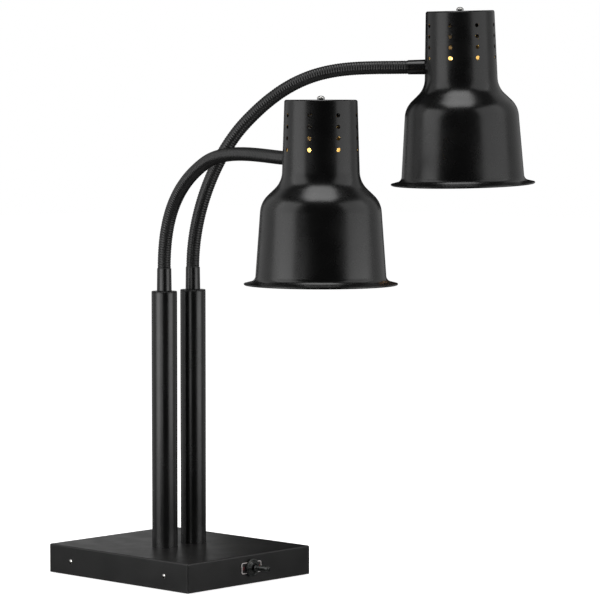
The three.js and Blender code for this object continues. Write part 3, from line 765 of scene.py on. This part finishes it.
def gooseneck(name, node, lines, phase, plane_normal):
    """A close-wound coil along curves that all lie in one plane: a tube whose radius follows a
    helix, with rounded turns and a narrow groove between them. Gives the piece and its turns."""
    per_turn, around = 9, 28
    stations = even_stations(lines, RIB_PITCH * MM / per_turn)
    rings = []
    for i, here in enumerate(stations):
        ahead = stations[min(i + 1, len(stations) - 1)] - stations[max(i - 1, 0)]
        across = plane_normal.cross(ahead.normalized())
        ring = []
        for k in range(around):
            angle = 2 * math.pi * k / around
            turn = (i / per_turn + phase - k / around) % 1
            rib = NECK_RADIUS - RIB_DEPTH * abs(math.cos(math.pi * turn)) ** 3
            ring.append(here + (plane_normal * math.cos(angle) + across * math.sin(angle)) * rib * MM)
        rings.append(ring)
    piece = add_piece(name, lofted(name, rings), NECK_COAT, None, [node], crease=60)
    return piece, (len(stations) - 1) / per_turn


def straight(start, end):
    return lambda t: start.lerp(end, t)


def goosenecks():
    for side in SIDES:
        post = upright(f"ferrule_lower_{side}").translation
        mouth_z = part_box(f"ferrule_lower_{side}")[1].z
        start = Vector((post.x, post.y, mouth_z))
        half, slope = seam(side)
        head = HEAD[side]
        across = head.col[0].to_3d().normalized()
        end = head @ Vector((-(BODY_RADIUS + UPPER_FERRULE), 0, -ENTRY_DROP))
        normal = Vector(joint(f"{side}_arm_lift")["axis"])
        lift = Vector(joint(f"{side}_arm_lift")["pos_m"])
        tilt = Vector(joint(f"{side}_head_tilt")["pos_m"])
        depth = (SOCKET_DEPTH - 0.5) * MM
        lower = [straight(start - UP * depth, start), through(start, UP, lift, half, slope)]
        upper = [through(half, slope, tilt, end, across), straight(end, end + across * depth)]
        piece, turns = gooseneck(
            f"gooseneck_lower_{side}", f"neck_lower_{side}", lower, 0.0, normal,
        )
        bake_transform(piece)
        piece, _ = gooseneck(
            f"gooseneck_upper_{side}", f"neck_upper_{side}", upper, turns, normal,
        )
        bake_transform(piece)


# ---------------------------------------------------------------- lamp heads

def shade_profile():
    """The outside of the shade as (radius, height) from its top centre to its rim."""
    return rounded([
        (0, 0), (*CONE_TOP, 3), (*CONE_FOOT, 34), (84.9, -144, 36), (92.9, -254.6, 9),
        (RIM_RADIUS - 0.2, -(SHADE_HEIGHT - 1.4)),
    ], 14, 1.0)


def offset(outline, distance):
    """An outline moved sideways by distance; positive moves it to the right of its run."""
    result = []
    for i, (x, y) in enumerate(outline):
        x0, y0 = outline[max(i - 1, 0)]
        x1, y1 = outline[min(i + 1, len(outline) - 1)]
        run = math.hypot(x1 - x0, y1 - y0)
        result.append((x + distance * (y1 - y0) / run, y - distance * (x1 - x0) / run))
    return result


def between(first, second, z):
    """The point at height z on the line between two points of an outline."""
    share = (z - first[1]) / (second[1] - first[1])
    return first[0] + share * (second[0] - first[0]), z


def shade_mesh(name):
    """The spun shade: an outer skin, an inner skin, a rolled rim and the holes."""
    outside = shade_profile()
    inside = [(r, z) for r, z in offset(outside, SHADE_SHEET) if r < RIM_RADIUS - 4]
    inside[0] = (0, -SHADE_SHEET)
    above = max(k for k, (r, z) in enumerate(inside) if z > BARE_FROM)
    inside.insert(above + 1, between(inside[above], inside[above + 1], BARE_FROM))
    r, z = outside[-1]
    tip = [
        (r + 0.3, z - 0.5), (r + 0.3, z - 1.1), (r, z - 1.8), (r - 0.7, z - 2.3), (r - 1.7, z - 2.4),
        (r - 2.6, z - 2.1), (r - 3.2, z - 1.7),
    ]
    mesh = turned(name, outside + tip + inside[::-1], 192)
    entry = Matrix.Translation((0, 0, -ENTRY_DROP)) @ Matrix.Rotation(-math.pi / 2, 4, "Y")
    cutters = [rod(BOLT_HOLE, -4, 4, 32), rod(NIPPLE_RADIUS + GAP, 40, 70, 48, entry)]
    for row in range(VENT["rows"]):
        for column in range(VENT["columns"]):
            turn = math.radians(VENT["offset"] + 360 * column / VENT["columns"])
            depth = VENT["first"] + row * VENT["pitch"]
            place = (
                Matrix.Translation((0, 0, -depth)) @ Matrix.Rotation(turn, 4, "Z")
                @ Matrix.Rotation(math.pi / 2, 4, "Y")
            )
            cutters.append(rod(VENT["radius"], 46, 60, 36, place))
    return carve(mesh, cutters)


def heads():
    for side in SIDES:
        head = HEAD[side]
        body = f"{side}_head"
        mesh = shade_mesh(f"shade_{side}_fine")
        bare = inside_faces(mesh)
        shade = add_piece(
            f"shade_{side}_fine", mesh, SHADE_COAT, body, [f"shade_{side}"], head,
            crease=30,
        )
        second_material(shade, ALUMINIUM, bare)
        cone_normals(shade, head)

        washer = rounded([
            (BOLT_HOLE, 0.3), (5.6, 0.3, 0.12), (5.6, 1.1, 0.3), (BOLT_HOLE, 1.1),
        ], 3, 0.05)
        add_piece(
            f"shade_washer_{side}_fine", turned("washer", washer, 64), RUBBER, body,
            [f"shade_washer_{side}"], head,
        )
        dome_nut(side, head, body)
        lamp(side, head, body)


def inside_faces(mesh):
    """The faces of a shade's inner skin that the coat leaves bare."""
    found = set()
    for face in mesh.polygons:
        place, normal = face.center, face.normal
        r = math.hypot(place.x, place.y)
        inward = -(normal.x * place.x + normal.y * place.y) / max(r, 1e-6)
        if inward > 0.2 and 45 < r < 92 and place.z < BARE_FROM:
            found.add(face.index)
    return found


def cone_normals(piece, matrix):
    """Gives the pierced body of a shade the normals of the cone it was spun to, so that the
    holes don't disturb its reflections."""
    mesh = piece.data
    to_local = matrix.inverted()
    turn = matrix.to_3x3().normalized()
    lean = math.atan2(CONE_FOOT[0] - CONE_TOP[0], CONE_TOP[1] - CONE_FOOT[1])
    places = [to_local @ v.co for v in mesh.vertices]
    normals = [corner.vector.copy() for corner in mesh.corner_normals]
    for face in mesh.polygons:
        local = turn.inverted() @ face.normal
        for index in face.loop_indices:
            p = places[mesh.loops[index].vertex_index]
            r = math.hypot(p.x, p.y)
            if not -100 < p.z < -5 or r < 45:
                continue
            outward = Vector((p.x / r * math.cos(lean), p.y / r * math.cos(lean), math.sin(lean)))
            facing = local.dot(outward)
            if abs(facing) > 0.95:
                normals[index] = turn @ (outward if facing > 0 else -outward)
    mesh.normals_split_custom_set(normals)


def dome_nut(side, head, body):
    """A low dome nut: a chamfered hexagon with a turned crown."""
    foot, spring, top, radius = 1.4, 3.3, 5.6, 4.8
    angles = [math.pi / 2 * k / 10 for k in range(10)]
    crown = [(radius * math.cos(a), spring + (top - spring) * math.sin(a)) for a in angles]
    dome = [(0, spring - 0.4), (radius, spring - 0.4)] + crown + [(0, top)]
    add_piece(
        f"dome_nut_crown_{side}", turned("crown", dome, 64), BRIGHT, body,
        (), head,
    )
    skirt = lofted("skirt", [
        hex_ring(5.4, foot), hex_ring(5.7, foot + 0.3), hex_ring(5.7, spring - 0.5),
        hex_ring(5.2, spring),
    ])
    add_piece(
        f"dome_nut_{side}_fine", carve(skirt, [rod(BOLT_HOLE, 0, spring - 0.6, 32)]),
        BRIGHT, body, [f"dome_nut_{side}"], head, crease=20,
    )


def hex_ring(corner, z):
    angles = [math.radians(60 * i) for i in range(6)]
    return [(corner * math.cos(a), corner * math.sin(a), z) for a in angles]


def lamp(side, head, body):
    """The porcelain socket, and the bulb with its threaded cap."""
    socket = rounded([
        (0, -20), (21, -20, 1.5), (23, -23, 1), (23, -44, 0.6), (21.6, -45.5, 0.6), (23, -47, 0.6),
        (23, -62, 2), (19.5, -66, 1.5), (13.6, -66, 0.8), (13.6, -35), (0, -35),
    ], 4, 0.2)
    add_piece(
        f"lamp_socket_{side}_fine", turned("socket", socket, 96), PORCELAIN, body,
        [f"lamp_socket_{side}"], head,
    )
    add_piece(
        f"bulb_cap_{side}_fine", bulb_cap(), BRASS, body, [f"bulb_cap_{side}"], head,
    )
    outside = rounded([
        (12.6, -63.3), (13, -68, 6), (15.6, -79, 30), (26, -102, 60), (43, -127, 90), (57, -152, 40),
        (62.5, -177, 12), (59.5, -192, 8), (48, -203, 20), (26, -210.5, 30), (0, BULB_FACE),
    ], 5, 0.3)
    inner = offset(outside, BULB_SKIN)
    inner[-1] = (0, BULB_FACE + BULB_SKIN)
    add_piece(
        f"bulb_glass_{side}_fine", turned("bulb", inner[::-1] + outside, 96), lamp_glass(side),
        body, [f"bulb_glass_{side}"], head, crease=50,
    )


def bulb_cap():
    """An Edison screw: a rolled round thread below an insulated centre contact."""
    outline = [(0, -36), (4.4, -36), (4.8, -36.6), (5, -38), (9, -39.5), (11, -40.5), (11.8, -41.6)]
    outline += [(12.6, -42.4 - 0.5 * i) for i in range(36)]
    outline += [(12.9, -61.2), (13.0, -63), (0, -63)]

    def thread(r, angle, z):
        on_thread = r > 12 and -60.4 < z < -42
        return 0.55 * math.sin(2 * math.pi * z / 3.62 - angle) if on_thread else 0

    mesh = turned("cap", outline, 72)
    ripple(mesh, thread)
    return mesh


# ---------------------------------------------------------------- carried CAD nodes

def finish_cad_nodes():
    """Materials for the CAD nodes that stay, which lie mostly out of sight."""
    looks = {
        "bottom_pan": ZINC, "ballast_plate": ZINC, "ballast_bolt_front": ZINC,
        "ballast_bolt_rear": ZINC, "terminal_block": PORCELAIN, "inlet_lead": SHEATH,
        "switch_lead": SHEATH, "switch_body": PLASTIC, "switch_nut": BRIGHT,
        "gland_body": PLASTIC, "gland_lock_nut": PLASTIC,
    }
    for side in SIDES:
        looks.update({
            f"post_lock_ring_{side}": ZINC, f"ferrule_lower_nut_{side}": ZINC,
            f"ferrule_upper_nut_{side}": ZINC, f"hanger_bolt_{side}": ZINC,
            f"socket_bracket_{side}": ZINC,
        })
    for name, look in looks.items():
        for slot in frame["nodes"][name].material_slots:
            slot.material = look


# ---------------------------------------------------------------- stage, light and camera

FLOOR_GLOW = 0.86           # of white, close to the object
CAMERA_FROM_BASE = Vector((-3.1480, -3.2480, 0.7159))   # from the middle of the base
AZIMUTH = math.radians(-46.4604)
ELEVATION = math.radians(3.7045)
FOCAL_PER_WIDTH = 2954.84 / 600


def add_camera():
    camera = bpy.data.cameras.new("camera")
    camera.sensor_width = 36
    camera.lens = 36 * FOCAL_PER_WIDTH
    camera.clip_end = 50
    holder = bpy.data.objects.new("camera", camera)
    bpy.context.scene.collection.objects.link(holder)
    right = Vector((math.cos(AZIMUTH), math.sin(AZIMUTH), 0))
    back = Vector((
        math.sin(AZIMUTH) * math.cos(ELEVATION), -math.cos(AZIMUTH) * math.cos(ELEVATION),
        math.sin(ELEVATION),
    ))
    turn = Matrix((right, back.cross(right), back)).transposed().to_4x4()
    base = Vector((base_middle.x, base_middle.y, 0))
    holder.matrix_world = Matrix.Translation(base + CAMERA_FROM_BASE) @ turn
    bpy.context.scene.camera = holder


def add_panel(name, bearing, distance, height, width, tall, power):
    """A soft light panel that faces the middle of the object and that the camera doesn't see. Its
    bearing is from the camera's side, in degrees to its right."""
    light = bpy.data.lights.new(name, "AREA")
    light.shape = "RECTANGLE"
    light.size = width
    light.size_y = tall
    light.energy = power
    holder = bpy.data.objects.new(name, light)
    bpy.context.scene.collection.objects.link(holder)
    angle = AZIMUTH - math.pi / 2 + math.radians(bearing)
    away = Vector((math.cos(angle), math.sin(angle), 0))
    holder.location = away * distance + UP * height
    aim = (Vector((0, 0, 0.45)) - holder.location).normalized()
    holder.rotation_euler = aim.to_track_quat("-Z", "Y").to_euler()
    holder.visible_camera = False


def add_stage():
    """A pale floor that glows enough to look white, fading into the white beyond it."""
    size = 12
    corners = [(-size, -size, 0), (size, -size, 0), (size, size, 0), (-size, size, 0)]
    mesh = bpy.data.meshes.new("floor")
    mesh.from_pydata(corners, [], [(0, 1, 2, 3)])
    pale = new_material("pale_floor", (0.9, 0.9, 0.9), 0.9, Emission_Color=(1, 1, 1, 1))
    share = spread(pale, noise(pale, 2, 2).outputs["Fac"], 0, 1)
    drive(pale, "Base Color", blended(pale, share, (0.9, 0.9, 0.9), (0.88, 0.88, 0.88)))
    place = add_node(pale, "ShaderNodeTexCoord").outputs["Object"]
    length = add_node(pale, "ShaderNodeVectorMath", {0: place}, operation="LENGTH").outputs["Value"]
    drive(pale, "Emission Strength", spread(pale, length, FLOOR_GLOW, 1.0, 0.3, 1.5))
    mesh.materials.append(pale)
    floor = bpy.data.objects.new("floor", mesh)
    bpy.context.scene.collection.objects.link(floor)
    floor.visible_glossy = False
    floor.visible_diffuse = False
    floor.visible_shadow = False


def light_world():
    """White to the camera and nearly dark to everything else."""
    world = bpy.data.worlds.new("studio")
    world.use_nodes = True
    bpy.context.scene.world = world
    nodes, links = world.node_tree.nodes, world.node_tree.links
    seen, given = nodes["Background"], nodes.new("ShaderNodeBackground")
    seen.inputs["Color"].default_value = (1, 1, 1, 1)
    given.inputs["Color"].default_value = (1, 1, 1, 1)
    given.inputs["Strength"].default_value = 0.01
    path, mix = nodes.new("ShaderNodeLightPath"), nodes.new("ShaderNodeMixShader")
    links.new(path.outputs["Is Camera Ray"], mix.inputs["Fac"])
    links.new(given.outputs["Background"], mix.inputs[1])
    links.new(seen.outputs["Background"], mix.inputs[2])
    links.new(mix.outputs["Shader"], nodes["World Output"].inputs["Surface"])


def light_scene():
    bpy.context.scene.view_settings.view_transform = "Standard"
    light_world()
    add_panel("left_panel", -62, 1.6, 0.9, 1.3, 2.2, 15.5)
    add_panel("left_fill", -112, 1.6, 0.9, 1.9, 2.2, 6.5)
    add_panel("left_low_panel", -45, 1.6, 0.28, 1.5, 0.5, 4.8)
    add_panel("right_panel", 66, 1.6, 0.9, 1.5, 2.2, 12)
    add_panel("right_fill", 120, 1.6, 0.9, 1.9, 2.2, 5.5)
    add_panel("right_low_panel", 56, 1.4, 0.28, 1.2, 0.5, 3.3)
    add_panel("rear_panel", -163, 1.7, 0.4, 0.7, 0.7, 0.6)
    add_panel("top_panel", 0, 0.5, 3.0, 1.6, 1.6, 30)
    add_panel("floor_bounce", 0, 0.3, -1.2, 2.0, 2.0, 5)


add_camera()
base_shell()
side_screws()
feet()
legend_plate()
switch_boot()
switch_toggle()
gland()
posts()
lower_ferrules()
goosenecks()
upper_ferrules()
heads()
finish_cad_nodes()
add_stage()
light_scene()
